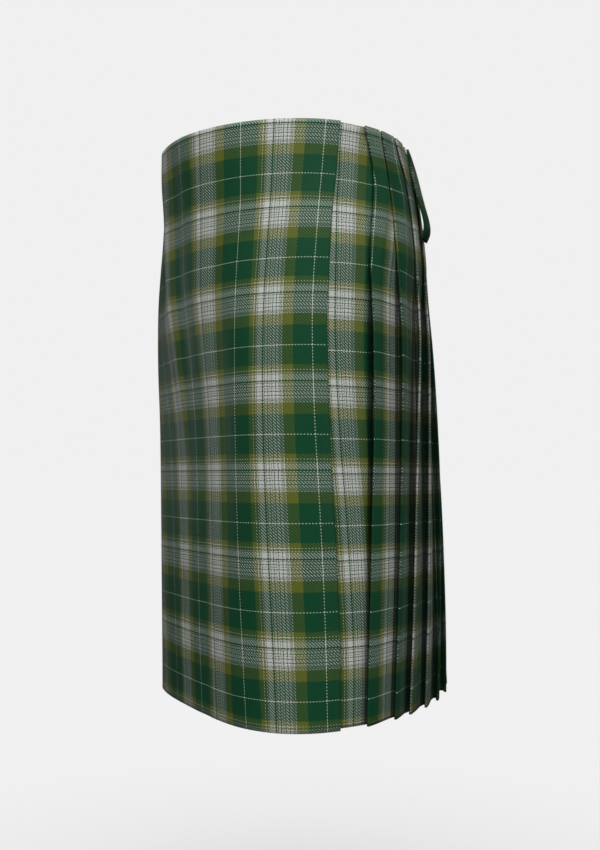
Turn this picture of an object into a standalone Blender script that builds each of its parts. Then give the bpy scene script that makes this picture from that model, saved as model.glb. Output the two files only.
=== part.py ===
# A kilt, worn shape with no wearer. Metres, +Z up, front towards -Y, wearer's left towards +X.
# The origin is the middle of the waist, where the wearer's waist holds the kilt.
import math

import bmesh
import bpy
import numpy as np

# ---- driving sizes ----
CLOTH = 0.0012  # thickness of the tartan cloth
LAYER = 0.0018  # pitch of two layers lying on each other
SEAM = 0.0003  # gap left between two sewn pieces
TAKE_UP = 0.0685  # cloth used by one knife pleat, from fold to fold
FOLD_CLEARANCE = 0.0065  # least distance from the end of a hidden fold to the next fold edge
EASING = 0.0020  # a pleat's face stays close over its hidden fold to this far beyond the fold's end
SLACK = 0.0002  # air between the layers of a pleat beyond their pitch
BACK_SEAM = -98.0  # turn at which the over apron is sewn to the pleats, at the wearer's right
LAST_FACE = 5.0  # degrees of flat cloth after the last fold edge, before the back seam
UNDER_EDGE = -75.0  # turn of the under apron's free edge, inside at the wearer's right
UNDER_INSET = 0.0032  # how far the under apron lies inside the over apron across the front
DIP_TURN = 40.0  # the under apron starts to dip to the pleats' inner line here
DIP_LENGTH = 38.0  # degrees of turn that the dip takes
OVER_COLUMNS = 44  # points across the over apron
UNDER_COLUMNS = 40  # points across the under apron
LOOP_WIDTH = 0.022
LOOP_THICKNESS = 0.0028  # a belt loop is a strip of the cloth folded on itself and pressed
LOOP_TURN = 128.0
LOOP_STAND = 0.0006  # air between a belt loop's sewn ends and the pleats' outline
GREEN = (0.012, 0.05, 0.022, 1.0)

# Turn is degrees round the body from the front centre, positive towards the wearer's left.
# Outline of the kilt: height, half width, depth to the front, depth to the back, squareness of each half.
OUTLINE = (
    (-0.573, 0.1683, 0.1170, 0.224, 3.10, 1.60),
    (-0.450, 0.1685, 0.1170, 0.210, 3.20, 1.76),
    (-0.330, 0.1690, 0.1170, 0.199, 3.30, 1.85),
    (-0.250, 0.1726, 0.1200, 0.190, 3.00, 1.85),
    (-0.170, 0.1770, 0.1285, 0.179, 2.40, 1.85),
    (-0.120, 0.1750, 0.1335, 0.172, 2.12, 1.87),
    (-0.080, 0.1700, 0.1350, 0.165, 2.00, 1.99),
    (-0.030, 0.1600, 0.1360, 0.155, 1.92, 2.16),
    (0.010, 0.1530, 0.1385, 0.146, 1.90, 2.25),
    (0.045, 0.1520, 0.1405, 0.128, 1.80, 2.28),
)
# How far each pleat's inner line lies inside its fold edge, stitched flat above and open below: height, step.
OPENING = (
    (-0.573, 0.0085),
    (-0.380, 0.0100),
    (-0.260, 0.0115),
    (-0.170, 0.0110),
    (-0.120, 0.0075),
    (-0.080, 0.0042),
    (0.045, 0.0040),
)
# Free edge of the over apron: height, turn.
EDGE = (
    (-0.573, 80.9),
    (-0.500, 81.1),
    (-0.420, 79.8),
    (-0.340, 78.2),
    (-0.260, 76.4),
    (-0.180, 75.4),
    (-0.130, 76.1),
    (-0.080, 77.7),
    (-0.040, 79.6),
    (0.000, 82.2),
    (0.045, 84.1),
)
# Fold edges of the knife pleats from the wearer's left round the back to the right: turn at each of these heights.
PLEAT_HEIGHTS = (-0.573, -0.300, -0.100, 0.000, 0.045)
PLEATS = (
    (92.3, 94.5, 92.5, 99.0, 95.5),
    (106.6, 108.8, 105.9, 107.3, 104.5),
    (116.2, 119.0, 120.3, 120.5, 114.5),
    (128.7, 129.8, 133.0, 133.0, 126.0),
    (140.7, 145.0, 147.0, 145.5, 138.5),
    (154.1, 158.0, 159.0, 157.0, 151.0),
    (167.0, 170.0, 170.5, 168.5, 163.5),
    (179.5, 181.5, 182.0, 180.0, 176.0),
    (191.5, 193.0, 193.5, 192.0, 188.5),
    (203.5, 204.5, 204.5, 203.5, 201.0),
    (215.5, 216.0, 216.0, 215.0, 213.5),
    (228.0, 228.5, 228.0, 227.5, 226.5),
    (240.5, 240.5, 240.5, 240.0, 239.5),
    (252.0, 252.0, 252.0, 252.0, 252.0),
)
# Side profile of a belt loop, from its sewn top to its sewn foot: distance out from the kilt, height.
LOOP_PROFILE = (
    (0.0002, 0.0400),
    (0.0002, 0.0300),
    (0.0006, 0.0150),
    (0.0014, 0.0000),
    (0.0034, -0.0180),
    (0.0058, -0.0340),
    (0.0064, -0.0430),
    (0.0054, -0.0500),
    (0.0026, -0.0555),
    (0.0002, -0.0590),
)
ROWS = (-0.573, -0.532, -0.490, -0.450, -0.410, -0.330, -0.290, -0.250, -0.170, -0.120, -0.080, -0.030, 0.010, 0.045)


def between(table, height, column):
    """Smoothly reads a column of a table whose rows rise in height."""
    heights = [row[0] for row in table]
    height = min(max(height, heights[0]), heights[-1])
    i = 0
    while i < len(heights) - 2 and height > heights[i + 1]:
        i += 1
    step = heights[i + 1] - heights[i]
    f = (height - heights[i]) / step
    before = max(i - 1, 0)
    after = min(i + 2, len(heights) - 1)
    slope_a = (table[i + 1][column] - table[before][column]) / (heights[i + 1] - heights[before])
    slope_b = (table[after][column] - table[i][column]) / (heights[after] - heights[i])
    a = (2 * f**3 - 3 * f**2 + 1) * table[i][column]
    b = (-2 * f**3 + 3 * f**2) * table[i + 1][column]
    return a + b + (f**3 - 2 * f**2 + f) * slope_a * step + (f**3 - f**2) * slope_b * step


def on_outline(turn, height):
    """Plan point of the kilt's outline at a turn and height."""
    s = math.sin(math.radians(turn))
    c = math.cos(math.radians(turn))
    half = between(OUTLINE, height, 1)
    depth = between(OUTLINE, height, 2 if c > 0 else 3)
    square = between(OUTLINE, height, 4 if c > 0 else 5)
    reach = ((abs(s) / half) ** square + (abs(c) / depth) ** square) ** (-1 / square)
    return np.array([reach * s, -reach * c])


def place(turn, height, inset):
    """Plan point lying inset metres inside the outline."""
    along = on_outline(turn + 0.5, height) - on_outline(turn - 0.5, height)
    along /= np.linalg.norm(along)
    return on_outline(turn, height) - inset * np.array([along[1], -along[0]])


def turn_for(length, turn, height):
    """Degrees of turn that cover a length of the outline near a turn."""
    return length / (np.linalg.norm(on_outline(turn + 0.5, height) - on_outline(turn - 0.5, height)))


def fold_turn(k, height):
    """Turn of the k-th fold edge at a height."""
    return between(tuple(zip(PLEAT_HEIGHTS, PLEATS[k])), height, 1)


def mitred(path):
    """Unit offsets at each point of a plan path, stretched at its corners."""
    d = np.diff(path, axis=0)
    d /= np.linalg.norm(d, axis=1)[:, None]
    n = np.stack([d[:, 1], -d[:, 0]], axis=1)
    a = np.vstack([n[:1], n])
    b = np.vstack([n, n[-1:]])
    return (a + b) / (1 + np.sum(a * b, axis=1))[:, None]


def material(name, color):
    m = bpy.data.materials.new(name)
    m.use_nodes = True
    shader = m.node_tree.nodes["Principled BSDF"]
    shader.inputs["Base Color"].default_value = color
    shader.inputs["Roughness"].default_value = 0.85
    return m


def sheet(name, rows, heights, thickness, cloth):
    """One closed sheet of cloth from its middle line at each height."""
    mesh = bmesh.new()
    sides = []
    for sign in (0.5, -0.5):
        side = []
        for path, height in zip(rows, heights):
            path = np.array(path)
            out = path + sign * thickness * mitred(path)
            side.append([mesh.verts.new((p[0], p[1], height)) for p in out])
        sides.append(side)
    outer, inner = sides
    last = len(rows) - 1
    end = len(rows[0]) - 1
    for j in range(last):
        for i in range(end):
            mesh.faces.new((outer[j][i], outer[j][i + 1], outer[j + 1][i + 1], outer[j + 1][i]))
            mesh.faces.new((inner[j][i + 1], inner[j][i], inner[j + 1][i], inner[j + 1][i + 1]))
    for i in range(end):
        mesh.faces.new((outer[0][i + 1], outer[0][i], inner[0][i], inner[0][i + 1]))
        mesh.faces.new((outer[last][i], outer[last][i + 1], inner[last][i + 1], inner[last][i]))
    for j in range(last):
        mesh.faces.new((outer[j][0], outer[j + 1][0], inner[j + 1][0], inner[j][0]))
        mesh.faces.new((outer[j + 1][end], outer[j][end], inner[j][end], inner[j + 1][end]))
    bmesh.ops.recalc_face_normals(mesh, faces=mesh.faces)
    data = bpy.data.meshes.new(name)
    mesh.to_mesh(data)
    mesh.free()
    data.materials.append(cloth)
    piece = bpy.data.objects.new(name, data)
    bpy.context.scene.collection.objects.link(piece)
    return piece


def apron_path(start, stop, height, inset, count):
    """Plan path of a flat apron from one turn to another, its inset a function of the turn."""
    turns = np.linspace(start, stop, count)
    return [place(turn, height, inset(turn)) for turn in turns]


def chord(a, b, height):
    """Straight distance between two fold edges at a height."""
    return np.linalg.norm(on_outline(fold_turn(b, height), height) - on_outline(fold_turn(a, height), height))


def tuck_length(k, height):
    """Depth of the hidden fold under the k-th fold edge, so that every pleat takes up the same cloth."""
    behind = max(k, 1)
    ahead = min(k + 1, len(PLEATS) - 1)
    spacing = chord(behind - 1, behind, height)
    room = chord(ahead - 1, ahead, height)
    step = between(OPENING, height, 1)
    return min((TAKE_UP - spacing - step) / 2, room - FOLD_CLEARANCE)


def sinking(k, height):
    """How far the face of the k-th pleat has sunk where its hidden fold ends."""
    if k == len(PLEATS) - 1:
        return 0.0
    step = between(OPENING, height, 1)
    sunk = step * (tuck_length(k, height) + EASING) / chord(k, k + 1, height)
    return min(sunk, step - 2 * LAYER - SLACK)


def hidden_fold(k, height):
    """The three points that carry the cloth from under the k-th fold edge back out to it."""
    step = between(OPENING, height, 1)
    turn = fold_turn(k, height)
    deep = turn + turn_for(tuck_length(k, height), turn, height)
    return [
        place(deep, height, CLOTH / 2 + step),
        place(deep, height, CLOTH / 2 + sinking(k, height) + LAYER),
        place(turn, height, CLOTH / 2 + LAYER),
    ]


def pleats_path(height):
    """Plan path of the whole pleated back, left to right."""
    step = between(OPENING, height, 1)
    last = len(PLEATS) - 1
    path = hidden_fold(0, height)[1:]
    for k in range(last):
        turn = fold_turn(k, height)
        sunk = turn + turn_for(tuck_length(k, height) + EASING, turn, height)
        path.append(place(turn, height, CLOTH / 2))
        path.append(place(sunk, height, CLOTH / 2 + sinking(k, height)))
        path.append(place(fold_turn(k + 1, height), height, CLOTH / 2 + step))
        path.extend(hidden_fold(k + 1, height))
    edge = fold_turn(last, height)
    seam = 360 + BACK_SEAM - turn_for(SEAM, BACK_SEAM, height)
    return path + [place(turn, height, CLOTH / 2) for turn in (edge, edge + LAST_FACE, seam)]


def strip_inset(height):
    """The under apron dips to the pleats' inner line where it shows beside the over apron."""
    step = between(OPENING, height, 1)

    def inset(turn):
        share = min(max((turn - DIP_TURN) / DIP_LENGTH, 0), 1)
        share = share * share * (3 - 2 * share)
        return CLOTH / 2 + UNDER_INSET + (step - UNDER_INSET) * share

    return inset


def belt_loop(name, turn, cloth):
    """A strap of the cloth standing off the pleats, its width along the kilt."""
    mesh = bmesh.new()
    points = np.array(LOOP_PROFILE)
    offsets = mitred(points) * LOOP_THICKNESS / 2
    rings = []
    for sign in (1, -1):
        ring = []
        for (out, height), offset in zip(points, offsets):
            level = height + sign * offset[1]
            pair = []
            for side in (-0.5, 0.5):
                middle = on_outline(turn, level)
                edge = place(turn, level, -1.0) - middle
                across = np.array([-edge[1], edge[0]])
                stand = LOOP_STAND + out + LOOP_THICKNESS / 2 + sign * offset[0]
                spot = middle + edge * stand + across * side * LOOP_WIDTH
                pair.append(mesh.verts.new((spot[0], spot[1], level)))
            ring.append(pair)
        rings.append(ring)
    outer, inner = rings
    count = len(LOOP_PROFILE)
    for i in range(count - 1):
        mesh.faces.new((outer[i][0], outer[i][1], outer[i + 1][1], outer[i + 1][0]))
        mesh.faces.new((inner[i][1], inner[i][0], inner[i + 1][0], inner[i + 1][1]))
        for side in (0, 1):
            mesh.faces.new((outer[i][side], inner[i][side], inner[i + 1][side], outer[i + 1][side]))
    for i in (0, count - 1):
        mesh.faces.new((outer[i][0], outer[i][1], inner[i][1], inner[i][0]))
    bmesh.ops.recalc_face_normals(mesh, faces=mesh.faces)
    data = bpy.data.meshes.new(name)
    mesh.to_mesh(data)
    mesh.free()
    data.materials.append(cloth)
    piece = bpy.data.objects.new(name, data)
    bpy.context.scene.collection.objects.link(piece)
    return piece


def build():
    for old in list(bpy.data.objects):
        bpy.data.objects.remove(old, do_unlink=True)
    tartan = material("tartan", GREEN)

    def over(height):
        return apron_path(BACK_SEAM, between(EDGE, height, 1), height, lambda turn: CLOTH / 2, OVER_COLUMNS)

    def under(height):
        far = fold_turn(0, height) + turn_for(tuck_length(0, height), fold_turn(0, height), height)
        return apron_path(UNDER_EDGE, far, height, strip_inset(height), UNDER_COLUMNS)

    sheet("over_apron", [over(z) for z in ROWS], ROWS, CLOTH, tartan)
    sheet("under_apron", [under(z) for z in ROWS], ROWS, CLOTH, tartan)
    sheet("pleated_back", [pleats_path(z) for z in ROWS], ROWS, CLOTH, tartan)
    belt_loop("belt_loop_left", LOOP_TURN, tartan)
    belt_loop("belt_loop_right", -LOOP_TURN, tartan)


build()
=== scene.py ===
import math

import bpy
import numpy as np
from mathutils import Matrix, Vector


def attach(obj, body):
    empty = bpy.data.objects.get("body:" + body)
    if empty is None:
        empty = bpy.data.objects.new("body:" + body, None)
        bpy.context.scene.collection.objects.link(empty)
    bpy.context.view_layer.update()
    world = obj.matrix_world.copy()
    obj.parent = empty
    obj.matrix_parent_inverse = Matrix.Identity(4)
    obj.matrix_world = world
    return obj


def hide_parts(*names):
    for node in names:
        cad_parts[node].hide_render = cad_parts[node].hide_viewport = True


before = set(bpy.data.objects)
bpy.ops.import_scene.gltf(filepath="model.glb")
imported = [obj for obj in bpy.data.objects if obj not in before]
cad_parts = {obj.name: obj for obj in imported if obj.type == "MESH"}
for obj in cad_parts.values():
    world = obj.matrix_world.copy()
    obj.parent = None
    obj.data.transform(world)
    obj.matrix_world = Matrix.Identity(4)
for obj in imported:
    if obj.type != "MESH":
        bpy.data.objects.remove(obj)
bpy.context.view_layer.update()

# ---- the kilt's own sizes, metres ----
# A turn is degrees round the body from the front, positive to the wearer's left.
RIM = 0.045
HEM = -0.573
CLOTH = 0.0012
LAYER = 0.0018
SEAM = 0.0003
TAKE_UP = 0.0685
FOLD_CLEARANCE = 0.0065
EASING = 0.0020
UNDER_EDGE_GAP = 0.0015
SLACK = 0.0002
BACK_SEAM = -98.0
LAST_FACE = 5.0
UNDER_EDGE = -75.0
UNDER_INSET = 0.0032
DIP_TURN = 40.0
DIP_LENGTH = 38.0
CREASE_FADE = 0.05
LOOP_TURN = 128.0
LOOP_STAND = 0.0006
LOOP_WIDTH = 0.022
LOOP_THICKNESS = 0.0028
LOOP_LENGTH = 0.105
OVER_APRON_WIDTH = 0.483
UNDER_APRON_WIDTH = 0.451
PLEATED_BACK_WIDTH = 0.933
SETT = 0.0882
THREADS = 108
FIRST_WHITE_LINE = -0.0118
LOOP_PATTERN = (0.20, 0.05)
STITCHED_TO = -0.080
LOOSE_BY = 0.20

# rows of the cloth meshes, and columns of the two aprons
OVER_GRID = (150, 240)
UNDER_GRID = (120, 160)
PLEAT_ROWS = 110
LOOP_COLUMNS = 9
CURVE_POINTS = 4
LOOP_CURVE_POINTS = 6

# radius of a hidden bend, of a fold edge stitched down, what looseness adds to it, then of the other bends
HIDDEN_BEND = 0.0006
PRESSED_FOLD = 0.0007
LOOSE_FOLD = 0.0016
EASING_BEND = 0.003
VALLEY_BEND = 0.0008
END_BEND = 0.002
LOOP_BEND = 0.006
# painted shade, how much the cloth is darkened where shade falls: under a pleat, at the back of a fold, in a
# valley, on a loop
SHADE_UNDER_PLEAT = 1.0
SHADE_AT_FOLD_BACK = 0.9
SHADE_IN_VALLEY = 0.1
SHADE_ON_LOOP = 0.5
# painted shade on a fold edge: the first share, then one more for each pleat further round, up to the last
EDGE_SHADE = (0.15, 0.15, 0.75)

# height, half width, depth to the front, depth to the back, squareness of the front half and of the back half
OUTLINE = (
    (-0.573, 0.1683, 0.1170, 0.224, 3.10, 1.60),
    (-0.450, 0.1685, 0.1170, 0.210, 3.20, 1.76),
    (-0.330, 0.1690, 0.1170, 0.199, 3.30, 1.85),
    (-0.250, 0.1726, 0.1200, 0.190, 3.00, 1.85),
    (-0.170, 0.1770, 0.1285, 0.179, 2.40, 1.85),
    (-0.120, 0.1750, 0.1335, 0.172, 2.12, 1.87),
    (-0.080, 0.1700, 0.1350, 0.165, 2.00, 1.99),
    (-0.030, 0.1600, 0.1360, 0.155, 1.92, 2.16),
    (0.010, 0.1530, 0.1385, 0.146, 1.90, 2.25),
    (0.045, 0.1520, 0.1405, 0.128, 1.80, 2.28),
)
# height, how far a pleat's inner line lies inside its fold edge
OPENING = (
    (-0.573, 0.0085),
    (-0.380, 0.0100),
    (-0.260, 0.0115),
    (-0.170, 0.0110),
    (-0.120, 0.0075),
    (-0.080, 0.0042),
    (0.045, 0.0040),
)
# height, turn of the over apron's free edge, then of the white warp lines inwards from it
WARP_LINES = (
    (-0.573, 80.9, 76.0, 47.3, 14.7, -17.0),
    (-0.500, 81.1, 75.4, 45.9, 12.0, -20.0),
    (-0.420, 79.8, 74.4, 44.2, 10.3, -22.0),
    (-0.340, 78.2, 72.9, 42.9, 9.0, -24.5),
    (-0.260, 76.4, 71.2, 42.3, 8.5, -26.0),
    (-0.180, 75.4, 70.4, 42.5, 8.3, -27.5),
    (-0.130, 76.1, 70.9, 42.7, 7.6, -28.5),
    (-0.080, 77.7, 72.5, 43.1, 7.8, -29.0),
    (-0.040, 79.6, 74.2, 43.4, 7.3, -29.5),
    (0.000, 82.2, 76.2, 43.2, 7.6, -29.5),
    (0.045, 84.1, 78.0, 42.9, 7.6, -29.5),
)
EDGE_PHASE = 0.175
# height, setts from the white line to the over apron's free edge on the under apron
STRIP_PHASE = (
    (-0.573, 0.180),
    (-0.380, 0.185),
    (-0.260, 0.235),
    (-0.070, 0.340),
    (0.030, 0.375),
    (0.045, 0.375),
)
STRIP_DROP = 0.0035
# height, how far the first pleat's white line lies on from its fold edge
FOLD_LINE = (
    (-0.573, -0.0020),
    (-0.130, -0.0020),
    (-0.090, 0.0010),
    (-0.020, 0.0012),
    (0.010, -0.0020),
    (0.045, -0.0020),
)
# Fold edges of the knife pleats, from the wearer's left round the back: turn at each height.
PLEAT_HEIGHTS = (-0.573, -0.300, -0.100, 0.000, 0.045)
PLEATS = (
    (92.3, 94.5, 92.5, 99.0, 95.5),
    (106.6, 108.8, 105.9, 107.3, 104.5),
    (116.2, 119.0, 120.3, 120.5, 114.5),
    (128.7, 129.8, 133.0, 133.0, 126.0),
    (140.7, 145.0, 147.0, 145.5, 138.5),
    (154.1, 158.0, 159.0, 157.0, 151.0),
    (167.0, 170.0, 170.5, 168.5, 163.5),
    (179.5, 181.5, 182.0, 180.0, 176.0),
    (191.5, 193.0, 193.5, 192.0, 188.5),
    (203.5, 204.5, 204.5, 203.5, 201.0),
    (215.5, 216.0, 216.0, 215.0, 213.5),
    (228.0, 228.5, 228.0, 227.5, 226.5),
    (240.5, 240.5, 240.5, 240.0, 239.5),
    (252.0, 252.0, 252.0, 252.0, 252.0),
)
# Soft ridges and troughs of the aprons: turn at the top and at the foot, top, foot, half width, depth.
CREASES = (
    (2.0, 6.0, 0.030, -0.200, 5.0, -0.0022),
    (-14.0, -4.0, 0.045, -0.260, 6.0, 0.0030),
    (-26.0, -20.0, 0.020, -0.110, 6.0, -0.0040),
    (30.0, 37.0, -0.020, -0.400, 5.0, -0.0018),
    (46.0, 44.0, -0.100, -0.573, 7.0, 0.0014),
    (17.0, 20.0, -0.180, -0.573, 6.0, -0.0016),
    (62.0, 66.0, -0.220, -0.573, 6.0, -0.0010),
    (-40.0, -34.0, -0.060, -0.480, 7.0, 0.0018),
    (-58.0, -55.0, -0.150, -0.573, 6.0, -0.0020),
    (-74.0, -78.0, 0.000, -0.350, 6.0, 0.0015),
    (-88.0, -86.0, -0.200, -0.573, 5.0, -0.0016),
)

# The sett of the tartan, shares of one repeat from the white line: start, colour name.
SETT_CHART = (
    (0.000, "white"),
    (0.009, "green"),
    (0.215, "olive"),
    (0.279, "light"),
    (0.288, "olive"),
    (0.313, "light"),
    (0.322, "olive"),
    (0.335, "light"),
    (0.398, "green"),
    (0.414, "light"),
    (0.426, "olive"),
    (0.436, "light"),
    (0.463, "green"),
    (0.472, "light"),
    (0.490, "ash"),
    (0.502, "light"),
    (0.514, "green"),
    (0.530, "light"),
    (0.565, "green"),
    (0.574, "light"),
    (0.598, "ash"),
    (0.634, "light"),
    (0.650, "olive"),
    (0.780, "green"),
)
WOOL = {
    "white": (0.66, 0.70, 0.64, 1.0),
    "green": (0.0068, 0.0530, 0.0228, 1.0),
    "olive": (0.1000, 0.1150, 0.0200, 1.0),
    "light": (0.4750, 0.4850, 0.4620, 1.0),
    "ash": (0.2200, 0.2300, 0.2000, 1.0),
}


# ---- camera, backdrop and light ----
SENSOR = 36
FOCAL = 950 / 850 * SENSOR
CAMERA_SHIFT = 52 / 850
CAMERA_TURN = 60.0
CAMERA_DISTANCE = 1.108
CAMERA_ASIDE = 0.020
CAMERA_HEIGHT = -0.319
PALE = 0.871
FLOOR_WHITE = 0.80
OVERHEAD_STRENGTH = PALE / FLOOR_WHITE * math.pi
OVERHEAD_SPREAD = 80
MIDDLE = Vector((0, 0, -0.26))
FLOOR_HEIGHT = -0.90
FLOOR_REACH = 60.0
# name, turn, distance, height, size, power, whether the cloth's sheen shows it
LAMPS = (
    ("key", 60.0, 2.2, 0.25, 1.2, 41.0, False),
    ("left", -62.0, 2.2, 0.00, 0.9, 2.2, True),
    ("side", 120.0, 2.2, 0.10, 0.9, 4.5, True),
    ("rear", 238.0, 2.2, 0.30, 1.4, 26.0, False),
)


def ground_directions():
    """Level unit directions to the camera's right and away from it."""
    a = math.radians(CAMERA_TURN)
    return Vector((math.cos(a), math.sin(a), 0)), Vector((-math.sin(a), math.cos(a), 0))


def place_camera():
    right, away = ground_directions()
    data = bpy.data.cameras.new("camera")
    data.lens = FOCAL
    data.sensor_width = SENSOR
    data.shift_y = CAMERA_SHIFT
    camera = bpy.data.objects.new("camera", data)
    camera.location = right * CAMERA_ASIDE - away * CAMERA_DISTANCE + Vector((0, 0, CAMERA_HEIGHT))
    camera.rotation_euler = (math.radians(90), 0, math.radians(CAMERA_TURN))
    bpy.context.scene.collection.objects.link(camera)
    bpy.context.scene.camera = camera


def around(turn, distance, height):
    """A spot at a turn round the kilt's axis."""
    a = math.radians(turn)
    return Vector((distance * math.sin(a), -distance * math.cos(a), height))


def area_light(name, spot, size, power):
    data = bpy.data.lights.new(name, "AREA")
    data.shape = "DISK"
    data.size = size
    data.energy = power
    lamp = bpy.data.objects.new(name, data)
    lamp.location = spot
    lamp.rotation_euler = (MIDDLE - spot).to_track_quat("-Z", "Y").to_euler()
    bpy.context.scene.collection.objects.link(lamp)
    return lamp


def light_studio(lit):
    """Soft lamps all round, strongest at the front, and one from overhead for the floor."""
    world = bpy.data.worlds.new("studio")
    world.use_nodes = True
    world.node_tree.nodes["Background"].inputs["Color"].default_value = (1, 1, 1, 1)
    world.node_tree.nodes["Background"].inputs["Strength"].default_value = PALE
    world.cycles_visibility.diffuse = False
    world.cycles_visibility.glossy = False
    bpy.context.scene.world = world
    for name, turn, distance, height, size, power, glossy in LAMPS:
        lamp = area_light(name, around(turn, distance, height), size, power)
        lamp.light_linking.receiver_collection = lit
        lamp.visible_glossy = glossy
    data = bpy.data.lights.new("overhead", "SUN")
    data.energy = OVERHEAD_STRENGTH
    data.angle = math.radians(OVERHEAD_SPREAD)
    overhead = bpy.data.objects.new("overhead", data)
    bpy.context.scene.collection.objects.link(overhead)
    bpy.context.scene.view_settings.view_transform = "Standard"


# ---- shader maths ----
WHITE = (1.0, 1.0, 1.0, 1.0)
OBJECT = 3
TWILL = 4.0
# painted shade: how strongly cloth is darkened where yarns of two colours cross
CROSSING_SHADE_STRENGTH = 0.54


class Value:
    """A number or colour socket that adds its maths nodes as it is used in an expression."""

    def __init__(self, paint, socket):
        self.paint = paint
        self.socket = socket

    def maths(self, operation, *values):
        return self.paint.node("ShaderNodeMath", {"operation": operation}, dict(enumerate(values)))

    def __add__(self, other):
        return self.maths("ADD", self, other)

    def __sub__(self, other):
        return self.maths("SUBTRACT", self, other)

    def __rsub__(self, other):
        return self.maths("SUBTRACT", other, self)

    def __mul__(self, other):
        return self.maths("MULTIPLY", self, other)

    def __truediv__(self, other):
        return self.maths("DIVIDE", self, other)

    def __lt__(self, other):
        return self.maths("LESS_THAN", self, other)

    __radd__ = __add__
    __rmul__ = __mul__

    def floor(self):
        return self.maths("FLOOR", self)

    def repeat(self, length):
        return self.maths("FLOORED_MODULO", self, length)


class Paint:
    """One material being mixed: its nodes come from one method."""

    def __init__(self, name):
        self.material = bpy.data.materials.new(name)
        self.material.use_nodes = True
        self.tree = self.material.node_tree
        self.shader = self.tree.nodes["Principled BSDF"]

    def node(self, kind, settings=None, sockets=None, output=0):
        made = self.tree.nodes.new(kind)
        for name, value in (settings or {}).items():
            if name == "stops":
                self.set_stops(made.color_ramp, value)
            else:
                setattr(made, name, value)
        for name, value in (sockets or {}).items():
            self.feed(made.inputs[name], value)
        return Value(self, made.outputs[output])

    def set_stops(self, ramp, stops):
        ramp.interpolation = "CONSTANT"
        while len(ramp.elements) < len(stops):
            ramp.elements.new(1.0)
        for element, (start, colour) in zip(ramp.elements, stops):
            element.position = start
            element.color = colour

    def feed(self, socket, value):
        if isinstance(value, Value):
            self.tree.links.new(value.socket, socket)
        else:
            socket.default_value = value

    def vector(self, operation, first, second):
        """Vector maths on colours, channel by channel."""
        key = "Scale" if operation == "SCALE" else 1
        return self.node("ShaderNodeVectorMath", {"operation": operation}, {0: first, key: second})

    def mix(self, share, first, second, blend="MIX"):
        """Colour mix of two colours."""
        sockets = {0: share, 6: first, 7: second}
        return self.node("ShaderNodeMix", {"data_type": "RGBA", "blend_type": blend}, sockets, 2)


def noise(paint, where, scale, detail):
    sockets = {"Vector": where, "Scale": scale, "Detail": detail}
    return paint.node("ShaderNodeTexNoise", {"noise_dimensions": "3D"}, sockets)


def root_colour(colour):
    """Square root of each channel: the shader squares it back, and uses the roots of two crossing yarns to
    paint shade where their colours differ.
    """
    return tuple(math.sqrt(channel) for channel in colour[:3]) + (1.0,)


def tartan_cloth():
    """Wool twill, two over two under, with the sett in both directions. The map named thread counts setts."""
    paint = Paint("tartan_twill")
    thread = paint.node("ShaderNodeUVMap", {"uv_map": "thread"})
    parts = paint.node("ShaderNodeSeparateXYZ", {}, {0: thread})
    across = parts
    down = Value(paint, parts.socket.node.outputs[1])
    warp_thread = (across * THREADS).floor()
    weft_thread = (down * THREADS).floor()
    stops = [(start, root_colour(WOOL[name])) for start, name in SETT_CHART]
    warp_place = ((warp_thread + 0.5) / THREADS).repeat(1.0)
    weft_place = ((weft_thread + 0.5) / THREADS).repeat(1.0)
    warp_root = paint.node("ShaderNodeValToRGB", {"stops": stops}, {0: warp_place})
    weft_root = paint.node("ShaderNodeValToRGB", {"stops": stops}, {0: weft_place})
    warp = paint.vector("MULTIPLY", warp_root, warp_root)
    weft = paint.vector("MULTIPLY", weft_root, weft_root)
    warp_over = (warp_thread - weft_thread).repeat(TWILL) < 1.5
    yarn = paint.mix(warp_over, weft, warp)
    # painted shade where yarns of two colours cross: the more their colours differ, the darker both are drawn
    both_roots = paint.vector("ADD", warp_root, weft_root)
    both = paint.vector("SCALE", paint.vector("ADD", warp, weft), 2.0)
    crossing_shade = paint.vector("DIVIDE", paint.vector("MULTIPLY", both_roots, both_roots), both)
    rib = ((across - down) * (THREADS / TWILL)).repeat(1.0)
    groove = (rib * 2.0).repeat(1.0)
    float_top = groove * (1.0 - groove) * 4.0
    # painted shade: in the grooves between the twill's ribs the darker of the two yarns shows
    yarn = paint.mix(float_top * float_top, paint.vector("MINIMUM", warp, weft), yarn)
    colour = paint.vector("MULTIPLY", yarn, paint.mix(CROSSING_SHADE_STRENGTH, WHITE, crossing_shade))
    body = paint.node("ShaderNodeTexCoord", output=OBJECT)
    wool = noise(paint, body, 900.0, 2.0)
    cloud = noise(paint, body, 9.0, 3.0)
    # painted shade: a second map darkens the cloth by up to four fifths under other cloth, at the back of
    # folds, in pleat valleys, at fold edges and on the loops
    cover = paint.node("ShaderNodeSeparateXYZ", {}, {0: paint.node("ShaderNodeUVMap", {"uv_map": "cover"})})
    # painted shade: the colour dims towards the grooves between the ribs and brightens on the ribs
    groove_shade = 0.30 + float_top * 0.85
    shade = (0.92 + wool * 0.16 + cloud * 0.12) * (1.0 - cover * 0.8) * groove_shade
    grey = paint.node("ShaderNodeCombineColor", {}, {0: shade, 1: shade, 2: shade})
    colour = paint.mix(1.0, colour, grey, "MULTIPLY")
    paint.feed(paint.shader.inputs["Base Color"], colour)
    fuzz = noise(paint, body, 2400.0, 2.0)
    relief = float_top * 0.6 + fuzz * 0.4
    bump = paint.node("ShaderNodeBump", {}, {"Height": relief, "Strength": 0.25, "Distance": 0.0004})
    paint.feed(paint.shader.inputs["Normal"], bump)
    paint.shader.inputs["Roughness"].default_value = 0.42
    paint.shader.inputs["Specular IOR Level"].default_value = 0.16
    paint.shader.inputs["Sheen Weight"].default_value = 0.02
    paint.shader.inputs["Sheen Roughness"].default_value = 0.45
    return paint.material


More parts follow.
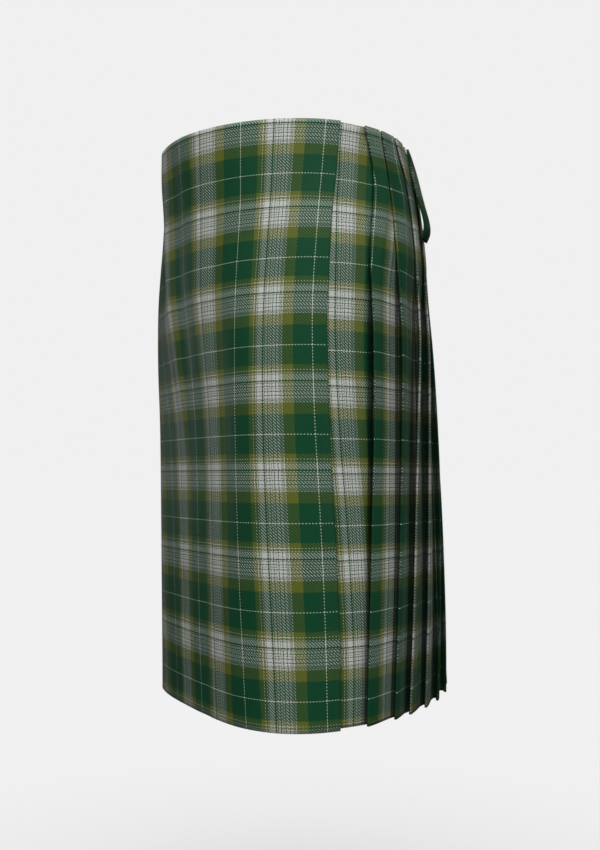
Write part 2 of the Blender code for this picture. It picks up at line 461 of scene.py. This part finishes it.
def pale_floor():
    paint = Paint("pale_floor")
    body = paint.node("ShaderNodeTexCoord", output=OBJECT)
    faint = noise(paint, body, 2.0, 1.0)
    pale, paler = [(white, white, white, 1.0) for white in (FLOOR_WHITE, FLOOR_WHITE + 0.005)]
    colour = paint.mix(faint, pale, paler)
    paint.feed(paint.shader.inputs["Base Color"], colour)
    paint.shader.inputs["Roughness"].default_value = 1.0
    paint.shader.inputs["Specular IOR Level"].default_value = 0.0
    return paint.material


# ---- the cut of the kilt, in plan ----
def between(table, height, column):
    """Smoothly reads a column of a table whose rows rise in height."""
    heights = [row[0] for row in table]
    height = min(max(height, heights[0]), heights[-1])
    i = 0
    while i < len(heights) - 2 and height > heights[i + 1]:
        i += 1
    step = heights[i + 1] - heights[i]
    f = (height - heights[i]) / step
    before = max(i - 1, 0)
    after = min(i + 2, len(heights) - 1)
    slope_a = (table[i + 1][column] - table[before][column]) / (heights[i + 1] - heights[before])
    slope_b = (table[after][column] - table[i][column]) / (heights[after] - heights[i])
    a = (2 * f**3 - 3 * f**2 + 1) * table[i][column]
    b = (-2 * f**3 + 3 * f**2) * table[i + 1][column]
    return a + b + (f**3 - 2 * f**2 + f) * slope_a * step + (f**3 - f**2) * slope_b * step


def soft_step(x):
    x = np.clip(x, 0, 1)
    return x * x * (3 - 2 * x)


class Level:
    """The kilt's outline at one height, read at any turns."""

    def __init__(self, height):
        self.height = height
        self.row = [between(OUTLINE, height, column) for column in range(1, 6)]
        self.step = between(OPENING, height, 1)

    def outline(self, turn):
        a = np.radians(turn)
        s = np.sin(a)
        c = np.cos(a)
        half, front, back, front_square, back_square = self.row
        depth = np.where(c > 0, front, back)
        square = np.where(c > 0, front_square, back_square)
        reach = ((np.abs(s) / half) ** square + (np.abs(c) / depth) ** square) ** (-1 / square)
        return np.stack([reach * s, -reach * c], axis=-1)

    def place(self, turn, inset):
        """Plan points lying inset metres inside the outline."""
        turn = np.asarray(turn, float)
        along = self.outline(turn + 0.5) - self.outline(turn - 0.5)
        along = along / np.linalg.norm(along, axis=-1, keepdims=True)
        inward = np.stack([-along[..., 1], along[..., 0]], axis=-1)
        return self.outline(turn) + inward * np.asarray(inset)[..., None]

    def length(self, start, stop):
        """Metres of outline from one turn to another."""
        points = self.outline(np.linspace(start, stop, 80))
        return np.linalg.norm(np.diff(points, axis=0), axis=1).sum()

    def turn_for(self, length, turn):
        return length / np.linalg.norm(self.outline(turn + 0.5) - self.outline(turn - 0.5))

    def fold(self, k):
        """Turn of the k-th fold edge."""
        return between(tuple(zip(PLEAT_HEIGHTS, PLEATS[k])), self.height, 1)

    def chord(self, a, b):
        return np.linalg.norm(self.outline(self.fold(b)) - self.outline(self.fold(a)))

    def tuck(self, k):
        """Depth of the hidden fold under the k-th fold edge."""
        behind = max(k, 1)
        ahead = min(k + 1, len(PLEATS) - 1)
        room = self.chord(ahead - 1, ahead) - FOLD_CLEARANCE
        return min((TAKE_UP - self.chord(behind - 1, behind) - self.step) / 2, room)

    def easing(self, k):
        """How far the face of the k-th pleat has sunk where its hidden fold ends."""
        if k == len(PLEATS) - 1:
            return 0.0
        sunk = self.step * (self.tuck(k) + EASING) / self.chord(k, k + 1)
        return min(sunk, self.step - 2 * LAYER - SLACK)


def crease_depth(turn, height):
    """Outward reach of the apron's soft ridges and troughs at a turn and height."""
    total = np.zeros_like(turn)
    for top_turn, foot_turn, top, foot, width, depth in CREASES:
        share = min(max((top - height) / (top - foot), 0), 1)
        middle = top_turn + (foot_turn - top_turn) * share
        rise = soft_step((top + CREASE_FADE - height) / (2 * CREASE_FADE))
        fall = soft_step((height - foot + CREASE_FADE) / (2 * CREASE_FADE))
        total += depth * rise * fall * np.exp(-(((turn - middle) / width) ** 2))
    return total


# ---- making cloth ----
def mitred(path):
    """Unit offsets at each point of a plan path, stretched at its corners."""
    d = np.diff(path, axis=0)
    d /= np.linalg.norm(d, axis=1)[:, None]
    n = np.stack([d[:, 1], -d[:, 0]], axis=1)
    a = np.vstack([n[:1], n])
    b = np.vstack([n, n[-1:]])
    return (a + b) / (1 + np.sum(a * b, axis=1))[:, None]


def closed_sheet(name, sides, threads, cover, cloth):
    """A thin closed piece between two sides of one size, rows by columns of points, with its thread counts
    and how much painted shade darkens each point."""
    rows, columns = sides[0].shape[:2]
    points = np.vstack([side.reshape(-1, 3) for side in sides])
    index = np.arange(rows * columns).reshape(rows, columns)
    a, b = index[:-1, :-1], index[:-1, 1:]
    c, d = index[1:, 1:], index[1:, :-1]
    outer = np.stack([a, b, c, d], axis=-1).reshape(-1, 4)
    shift = rows * columns
    inner = np.stack([b, a, d, c], axis=-1).reshape(-1, 4) + shift
    rim = []
    for line, turned in ((index[0], True), (index[-1], False), (index[:, 0], False), (index[:, -1], True)):
        p, q = line[:-1], line[1:]
        if turned:
            p, q = q, p
        rim.append(np.stack([p, q, q + shift, p + shift], axis=-1))
    faces = np.vstack([outer, inner] + rim)
    mesh = bpy.data.meshes.new(name)
    mesh.from_pydata(points.tolist(), [], faces.tolist())
    corner = np.zeros(len(mesh.loops), dtype=np.int64)
    mesh.loops.foreach_get("vertex_index", corner)
    for label, values in (("thread", threads), ("cover", np.stack([cover, cover], axis=-1))):
        flat = np.vstack([values.reshape(-1, 2)] * 2)
        mesh.uv_layers.new(name=label).data.foreach_set("uv", flat[corner].ravel())
    mesh.polygons.foreach_set("use_smooth", [True] * len(mesh.polygons))
    mesh.materials.append(cloth)
    mesh.update()
    piece = bpy.data.objects.new(name, mesh)
    garment.objects.link(piece)
    return piece


def cloth_sheet(name, middle, threads, cover, cloth):
    """A closed thin sheet from its middle surface."""
    sides = []
    for sign in (0.5, -0.5):
        side = middle.copy()
        for row in side:
            row[:, :2] += sign * CLOTH * mitred(row[:, :2])
        sides.append(side)
    return closed_sheet(name, sides, threads, cover, cloth)


def with_height(plan, height):
    return np.concatenate([plan, np.full(plan.shape[:-1] + (1,), height)], axis=-1)


def weft_count(height):
    return (FIRST_WHITE_LINE - height) / SETT


def warp_count(level, turns):
    """Setts across the over apron at each turn, whole numbers on its white lines."""
    lines = [between(WARP_LINES, level.height, column) for column in range(1, 6)]
    steps = [0.0] + [level.length(lines[i], lines[i + 1]) for i in range(4)]
    places = -np.cumsum(steps)
    counts = [EDGE_PHASE, 0.0, -1.0, -2.0, -3.0]
    start = lines[0]
    points = level.outline(turns)
    runs = np.concatenate([[0.0], np.cumsum(np.linalg.norm(np.diff(points, axis=0), axis=1))])
    along = runs - runs[-1] - level.length(start, turns[-1]) * np.sign(start - turns[-1])
    beyond = (along - places[-1]) / SETT + counts[-1]
    inside = np.interp(along, places[::-1], counts[::-1])
    return np.where(along < places[-1], beyond, inside)


def make_over_apron(cloth):
    rows, columns = OVER_GRID
    heights = np.linspace(HEM, RIM, rows)
    middle = []
    threads = []
    for height in heights:
        level = Level(height)
        edge = between(WARP_LINES, height, 1)
        turns = np.linspace(BACK_SEAM, edge, columns)
        reach = crease_depth(turns, height)
        plan = level.place(turns, CLOTH / 2 - reach)
        middle.append(with_height(plan, height))
        across = warp_count(level, turns)
        threads.append(np.stack([across, np.full_like(across, weft_count(height))], axis=-1))
    middle = np.array(middle)
    return cloth_sheet("over_apron_cloth", middle, np.array(threads), np.zeros(middle.shape[:2]), cloth)


def make_under_apron(cloth):
    rows, columns = UNDER_GRID
    heights = np.linspace(HEM, RIM, rows)
    middle = []
    threads = []
    cover = []
    for height in heights:
        level = Level(height)
        first = level.fold(0)
        far = first + level.turn_for(level.tuck(0), first)
        turns = np.linspace(UNDER_EDGE, far, columns)
        share = soft_step((turns - DIP_TURN) / DIP_LENGTH)
        inset = CLOTH / 2 + UNDER_INSET + (level.step - UNDER_INSET) * share
        reach = crease_depth(turns, height) * (1 - share)
        plan = level.place(turns, inset - reach)
        middle.append(with_height(plan, height))
        runs = np.linalg.norm(np.diff(plan, axis=0), axis=1)
        across = np.concatenate([[0.0], np.cumsum(runs)])
        at_edge = np.interp(between(WARP_LINES, height, 1), turns, across)
        across = between(STRIP_PHASE, height, 1) + (across - at_edge) / SETT
        threads.append(np.stack([across, np.full_like(across, weft_count(height + STRIP_DROP))], axis=-1))
        # painted shade on the under apron, full from where it runs under the first pleat
        cover.append(soft_step((turns - first + 0.8) / 1.2))
    return cloth_sheet("under_apron_cloth", np.array(middle), np.array(threads), np.array(cover), cloth)


def rounded(points, radius, pieces):
    """A plan path with each inner corner replaced by a small curve, and the corner each point belongs to."""
    path = [points[0]]
    share = [0.0]
    t = np.linspace(0, 1, pieces)[:, None]
    for i in range(1, len(points) - 1):
        back = points[i - 1] - points[i]
        ahead = points[i + 1] - points[i]
        reach = min(radius[i], 0.45 * np.linalg.norm(back), 0.45 * np.linalg.norm(ahead))
        a = points[i] + back / np.linalg.norm(back) * reach
        b = points[i] + ahead / np.linalg.norm(ahead) * reach
        path.extend((1 - t) ** 2 * a + 2 * t * (1 - t) * points[i] + t**2 * b)
        share.extend([float(i)] * pieces)
    path.append(points[-1])
    share.append(float(len(points) - 1))
    return np.array(path), np.array(share)


def pleat_corners(level):
    """Corners of the pleated back, their rounding, how much painted shade darkens each, and which are fold
    edges.
    """
    corners = []
    radius = []
    corner_shade = []
    tips = []
    loose = soft_step((STITCHED_TO - level.height) / LOOSE_BY)
    fold_bend = PRESSED_FOLD + LOOSE_FOLD * loose
    first_edge_shade, more_edge_shade, most_edge_shade = EDGE_SHADE
    half = CLOTH / 2
    for k in range(len(PLEATS)):
        turn = level.fold(k)
        tuck = level.tuck(k)
        deep = turn + level.turn_for(tuck, turn)
        easing = level.easing(k)
        if k > 0:
            just_under = turn + level.turn_for(UNDER_EDGE_GAP, turn)
            corners.append(level.place(just_under, half + level.step))
            corners.append(level.place(deep, half + level.step))
            radius.extend([HIDDEN_BEND, HIDDEN_BEND])
            corner_shade.extend([SHADE_UNDER_PLEAT, SHADE_UNDER_PLEAT])
        corners.append(level.place(deep, half + easing + LAYER))
        corners.append(level.place(turn, half + LAYER))
        tips.append(len(corners))
        corners.append(level.place(turn, half))
        radius.extend([HIDDEN_BEND, fold_bend, fold_bend])
        corner_shade.extend([SHADE_UNDER_PLEAT, SHADE_AT_FOLD_BACK, min(first_edge_shade + more_edge_shade * k, most_edge_shade)])
        if k == len(PLEATS) - 1:
            break
        following = level.fold(k + 1)
        corners.append(level.place(turn + level.turn_for(tuck + EASING, turn), half + easing))
        corners.append(level.place(following, half + level.step))
        radius.extend([EASING_BEND, VALLEY_BEND])
        corner_shade.extend([0.0, SHADE_IN_VALLEY])
    last = level.fold(len(PLEATS) - 1)
    seam = 360 + BACK_SEAM - level.turn_for(SEAM, BACK_SEAM)
    corners.append(level.place(last + LAST_FACE, half))
    corners.append(level.place(seam, half))
    radius.extend([END_BEND, 0.0])
    corner_shade.extend([0.0, 0.0])
    return np.array(corners), radius, corner_shade, tips


def make_pleated_back(cloth):
    heights = np.linspace(HEM, RIM, PLEAT_ROWS)
    middle = []
    threads = []
    cover = []
    for height in heights:
        level = Level(height)
        corners, radius, corner_shade, tips = pleat_corners(level)
        plan, share = rounded(corners, radius, CURVE_POINTS)
        middle.append(with_height(plan, height))
        runs = np.concatenate([[0.0], np.cumsum(np.linalg.norm(np.diff(plan, axis=0), axis=1))])
        knots = [runs[np.argmin(np.abs(share - tip))] + between(FOLD_LINE, height, 1) for tip in tips]
        counts = [k * TAKE_UP / SETT for k in range(len(tips))]
        across = np.interp(runs, knots, counts)
        across = np.where(runs < knots[0], (runs - knots[0]) / SETT, across)
        across = np.where(runs > knots[-1], counts[-1] + (runs - knots[-1]) / SETT, across)
        threads.append(np.stack([across, np.full_like(across, weft_count(height + STRIP_DROP))], axis=-1))
        # painted shade along the row, spread between the corners
        cover.append(np.interp(share, range(len(corner_shade)), corner_shade))
    return cloth_sheet("pleated_back_cloth", np.array(middle), np.array(threads), np.array(cover), cloth)


# distance out from the kilt, height
LOOP_PROFILE = (
    (0.0002, 0.0400),
    (0.0002, 0.0300),
    (0.0006, 0.0150),
    (0.0014, 0.0000),
    (0.0034, -0.0180),
    (0.0058, -0.0340),
    (0.0064, -0.0430),
    (0.0054, -0.0500),
    (0.0026, -0.0555),
    (0.0002, -0.0590),
)


def make_belt_loop(name, turn, cloth):
    """A strap standing off the pleats, seen from its side as a bow."""
    profile, _ = rounded(np.array(LOOP_PROFILE), [LOOP_BEND] * len(LOOP_PROFILE), LOOP_CURVE_POINTS)
    runs = np.concatenate([[0.0], np.cumsum(np.linalg.norm(np.diff(profile, axis=0), axis=1))])
    across = np.linspace(-0.5, 0.5, LOOP_COLUMNS)
    turn = np.array(turn)
    sides = []
    for sign in (0.5, -0.5):
        side = []
        for (out, height), offset in zip(profile, sign * LOOP_THICKNESS * mitred(profile)):
            level = Level(min(max(height + offset[1], HEM), RIM))
            spot = level.outline(turn)
            outward = level.place(turn, -1.0) - spot
            width = np.array([-outward[1], outward[0]])
            reach = LOOP_STAND + out + LOOP_THICKNESS / 2 + offset[0]
            plan = spot + outward * reach + width * (across * LOOP_WIDTH)[:, None]
            side.append(with_height(plan, height + offset[1]))
        sides.append(np.array(side))
    warp_start, weft_start = LOOP_PATTERN
    threads = np.meshgrid(warp_start + across * LOOP_WIDTH / SETT, runs / SETT + weft_start)
    threads = np.stack(threads, axis=-1)
    # the whole strap is darkened evenly with painted shade
    return closed_sheet(name, sides, threads, np.full(threads.shape[:2], SHADE_ON_LOOP), cloth)


def make_floor():
    """A wide pale floor well below the hem."""
    mesh = bpy.data.meshes.new("floor")
    corners = [(-1, -1), (1, -1), (1, 1), (-1, 1)]
    points = [(x * FLOOR_REACH, y * FLOOR_REACH, FLOOR_HEIGHT) for x, y in corners]
    mesh.from_pydata(points, [], [(0, 1, 2, 3)])
    mesh.materials.append(pale_floor())
    floor = bpy.data.objects.new("floor", mesh)
    floor.visible_diffuse = False
    floor.visible_glossy = False
    bpy.context.scene.collection.objects.link(floor)


garment = bpy.data.collections.new("garment")
bpy.context.scene.collection.children.link(garment)
place_camera()
light_studio(garment)
make_floor()
tartan = tartan_cloth()

over_apron = make_over_apron(tartan)
under_apron = make_under_apron(tartan)
pleated_back = make_pleated_back(tartan)
loop_left = make_belt_loop("belt_loop_left_cloth", LOOP_TURN, tartan)
loop_right = make_belt_loop("belt_loop_right_cloth", -LOOP_TURN, tartan)

# piece, the node it stands for, flat width and length, what it rests on
LENGTH = RIM - HEM
HUNG = (
    (over_apron, "over_apron", (OVER_APRON_WIDTH, LENGTH), "under_apron_cloth"),
    (under_apron, "under_apron", (UNDER_APRON_WIDTH, LENGTH), "pleated_back_cloth"),
    (pleated_back, "pleated_back", (PLEATED_BACK_WIDTH, LENGTH), "over_apron_cloth"),
    (loop_left, "belt_loop_left", (LOOP_WIDTH, LOOP_LENGTH), "pleated_back_cloth"),
    (loop_right, "belt_loop_right", (LOOP_WIDTH, LOOP_LENGTH), "pleated_back_cloth"),
)
for piece, node, flat, rest in HUNG:
    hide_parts(node)
    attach(piece, "root")
